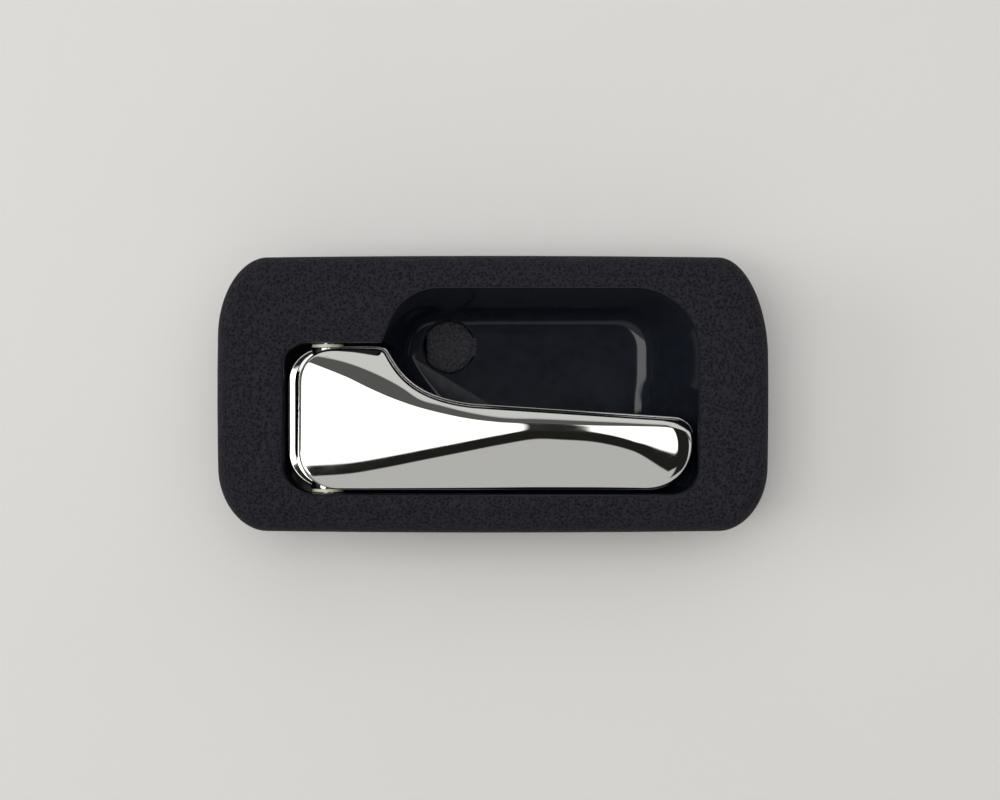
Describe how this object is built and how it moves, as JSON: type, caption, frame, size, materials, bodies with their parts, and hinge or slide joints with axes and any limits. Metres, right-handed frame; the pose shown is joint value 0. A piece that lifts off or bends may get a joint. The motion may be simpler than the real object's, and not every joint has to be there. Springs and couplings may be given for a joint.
{
  "type": "car interior door handle",
  "caption": "Flush oblong bezel with a finger cup and a sprung chrome pull lever that turns on an upright pin and works a latch rod.",
  "frame": {"origin": "centre of the bezel's outline, on the plane where its rim seats on the door panel", "axes": "+X along the handle from the lever's pivot to its free end, +Y up on the door, +Z out of the panel towards the hand"},
  "size_m": [0.1504, 0.0756, 0.035],
  "materials": {
    "bezel_plastic": "grained charcoal plastic, smooth satin in the cup",
    "lever_chrome": "bright chrome plate",
    "pin_steel": "zinc-plated steel",
    "spring_steel": "oiled spring steel",
    "nylon": "natural nylon",
    "pad_rubber": "black rubber",
    "cap_plastic": "grained charcoal plastic"
  },
  "bodies": {
    "bezel": {"bezel": "bezel_plastic", "pivot_pin": "pin_steel", "pin_retainer": "spring_steel", "return_spring": "spring_steel", "rest_pad_upper": "pad_rubber", "rest_pad_lower": "pad_rubber", "open_stop_pad": "pad_rubber", "screw_cap": "cap_plastic", "panel_clip": "spring_steel"},
    "lever": {"lever": "lever_chrome", "bush_upper": "nylon", "bush_lower": "nylon"},
    "rod_clip": {"rod_clip": "nylon"}
  },
  "joints": [
    {"name": "lever_pull", "type": "hinge", "parent": "bezel", "child": "lever", "pos_m": [-0.045, 0, 0.0026], "axis": [0, -1, 0], "range_deg": [0, 38], "stiffness_Nm_per_rad": 0.25, "springref_deg": -28.65, "deforming": ["return_spring"]},
    {"name": "rod_clip_swivel", "type": "hinge", "parent": "lever", "child": "rod_clip", "pos_m": [-0.045, -0.0178, -0.016], "axis": [0, -1, 0], "range_deg": [-40, 10]}
  ]
}
